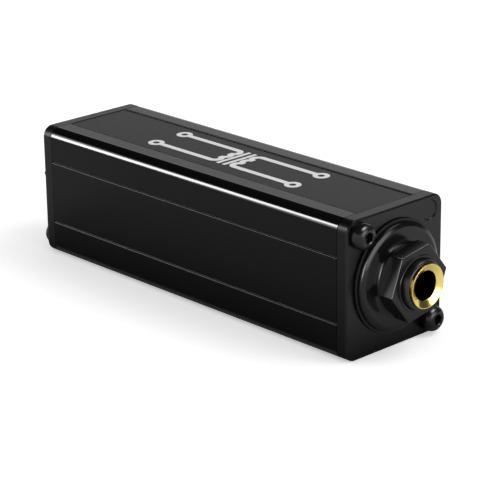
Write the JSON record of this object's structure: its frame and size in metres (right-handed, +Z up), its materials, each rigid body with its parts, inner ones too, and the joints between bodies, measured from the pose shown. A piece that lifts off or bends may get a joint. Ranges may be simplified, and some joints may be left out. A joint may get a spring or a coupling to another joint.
{
  "type": "ground loop isolator",
  "caption": "In-line audio ground loop isolator: a black extruded aluminium box with a gold-rimmed 6.35 mm socket in each end cap and a transformer inside.",
  "frame": {"origin": "bottom centre of the box, on the surface that it stands on", "axes": "+X along the box, out of the front socket; +Z up through the printed plate; Y across the box"},
  "size_m": [0.1176, 0.029, 0.031],
  "materials": {
    "black_anodised": "black anodised, satin on the flats and glossy on the long corners",
    "plate_black": "fine matt black",
    "print_white": "screen print",
    "black_oxide": "black oxide, glossy",
    "housing_plastic": "moulded nylon",
    "ferrule_gold": "polished gold plating",
    "washer_black": "smooth sealing rubber",
    "flange_black": "satin moulding",
    "nut_black": "satin moulding with glossy edges",
    "contact_metal": "nickel plated spring bronze",
    "board_green": "solder mask on glass epoxy",
    "core_steel": "stacked laminations",
    "bobbin_plastic": "moulded nylon",
    "copper_wire": "enamelled copper wire",
    "barrier_tape": "polyester tape",
    "pin_tin": "tinned wire",
    "strap_steel": "zinc plated",
    "resistor_coat": "lacquer",
    "capacitor_coat": "dipped resin"
  },
  "bodies": {
    "root": {"body_shell": "black_anodised", "top_label_plate": "plate_black", "label_marking": "print_white", "front_end_cap": "black_anodised", "front_cap_screws": "black_oxide", "front_jack_housing": "housing_plastic", "front_jack_ferrule": "ferrule_gold", "front_tip_contact": "contact_metal", "front_ring_contact": "contact_metal", "front_sleeve_contact": "contact_metal", "front_sealing_washer": "washer_black", "front_flange_ring": "flange_black", "front_hex_nut": "nut_black", "rear_end_cap": "black_anodised", "rear_cap_screws": "black_oxide", "rear_jack_housing": "housing_plastic", "rear_jack_ferrule": "ferrule_gold", "rear_tip_contact": "contact_metal", "rear_ring_contact": "contact_metal", "rear_sleeve_contact": "contact_metal", "rear_sealing_washer": "washer_black", "rear_flange_ring": "flange_black", "rear_hex_nut": "nut_black", "circuit_board": "board_green", "transformer_e_core": "core_steel", "transformer_i_core": "core_steel", "transformer_bobbin": "bobbin_plastic", "primary_winding": "copper_wire", "winding_barrier": "barrier_tape", "secondary_winding": "copper_wire", "transformer_pins": "pin_tin", "transformer_clamp": "strap_steel", "resistor_body": "resistor_coat", "resistor_leads": "pin_tin", "capacitor_body": "capacitor_coat", "capacitor_leads": "pin_tin"}
  },
  "joints": []
}
